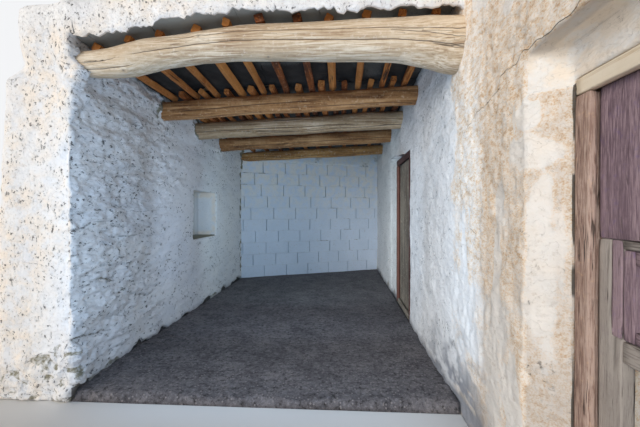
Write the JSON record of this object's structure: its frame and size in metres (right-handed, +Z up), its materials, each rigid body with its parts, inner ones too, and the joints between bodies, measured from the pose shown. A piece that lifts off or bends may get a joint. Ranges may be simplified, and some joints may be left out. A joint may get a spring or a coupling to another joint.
{
  "type": "earth-walled house with a log-roofed porch",
  "caption": "Old whitewashed earth-walled house: an open porch under a bowed log lintel, log beams, laths and slates, beside a long flat-roofed room with two low plank doors",
  "frame": {"origin": "on the ground under the middle of the whole plan", "axes": "+Z up, +Y from the open front of the porch to its back wall, +X from the porch to the room"},
  "size_m": [6.66, 7.92, 2.81],
  "materials": {
    "lime_plaster": "rough lime wash over earth and rubble, with dark pits and cracks",
    "whitewashed_block": "whitewashed concrete blocks with open upright joints",
    "ochre_plaster": "lime wash peeling off ochre earth render",
    "packed_earth": "dry packed grey-brown earth",
    "weathered_log": "bare weathered log with long shakes and splashes of whitewash",
    "brown_log": "bare brown pole with grain and shakes",
    "grey_log": "bare greyed pole with grain and shakes",
    "orange_lath": "split orange-brown poles with pale broken ends",
    "slate": "dark split slate with a slight sheen",
    "weathered_door_timber": "pinkish grey weathered timber with open grain",
    "violet_door_paint": "worn violet-grey paint on weathered boards",
    "grey_pane": "greenish grey thin panel, dusty",
    "rusty_iron": "rusty forged iron",
    "red_brown_paint": "worn red-brown paint on timber",
    "grey_door_boards": "greenish grey weathered boards"
  },
  "bodies": {
    "house": {"left_wall": "lime_plaster", "back_wall": "whitewashed_block", "corner_wall": "ochre_plaster", "wall_over_front_door": "ochre_plaster", "wall_between_doors": "ochre_plaster", "wall_over_inner_door": "lime_plaster", "wall_behind_inner_door": "lime_plaster", "room_front_wall": "ochre_plaster", "room_side_wall": "ochre_plaster", "room_rear_wall": "ochre_plaster", "porch_floor": "packed_earth", "room_floor": "packed_earth", "lintel_log": "weathered_log", "beam_1": "brown_log", "beam_2": "grey_log", "beam_3": "brown_log", "beam_4": "brown_log", "laths_1": "orange_lath", "laths_2": "orange_lath", "laths_3": "orange_lath", "laths_4": "orange_lath", "porch_slates": "slate", "porch_roof_earth": "packed_earth", "porch_parapet": "lime_plaster", "room_logs": "brown_log", "room_laths": "orange_lath", "room_slates": "slate", "room_roof_earth": "packed_earth", "front_door_lintel": "ochre_plaster", "front_door_posts": "weathered_door_timber", "front_door_head": "weathered_door_timber", "front_door_pintles": "rusty_iron", "inner_door_lintel": "grey_door_boards", "inner_door_posts": "red_brown_paint", "inner_door_head": "red_brown_paint", "inner_door_threshold": "grey_door_boards", "inner_door_pintles": "rusty_iron"},
    "front_door": {"front_door_leaf": "weathered_door_timber", "front_door_board": "violet_door_paint", "front_door_moulding": "violet_door_paint", "front_door_pane": "grey_pane", "front_door_straps": "rusty_iron"},
    "inner_door": {"inner_door_leaf": "grey_door_boards", "inner_door_straps": "rusty_iron"}
  },
  "joints": [
    {"name": "front_door_swing", "type": "hinge", "parent": "house", "child": "front_door", "pos_m": [-0.146, -3.117, 0.86], "axis": [0, 0, -1], "range_deg": [0, 95]},
    {"name": "inner_door_swing", "type": "hinge", "parent": "house", "child": "inner_door", "pos_m": [-0.271, 0.252, 0.94], "axis": [0, 0, -1], "range_deg": [0, 95]}
  ]
}
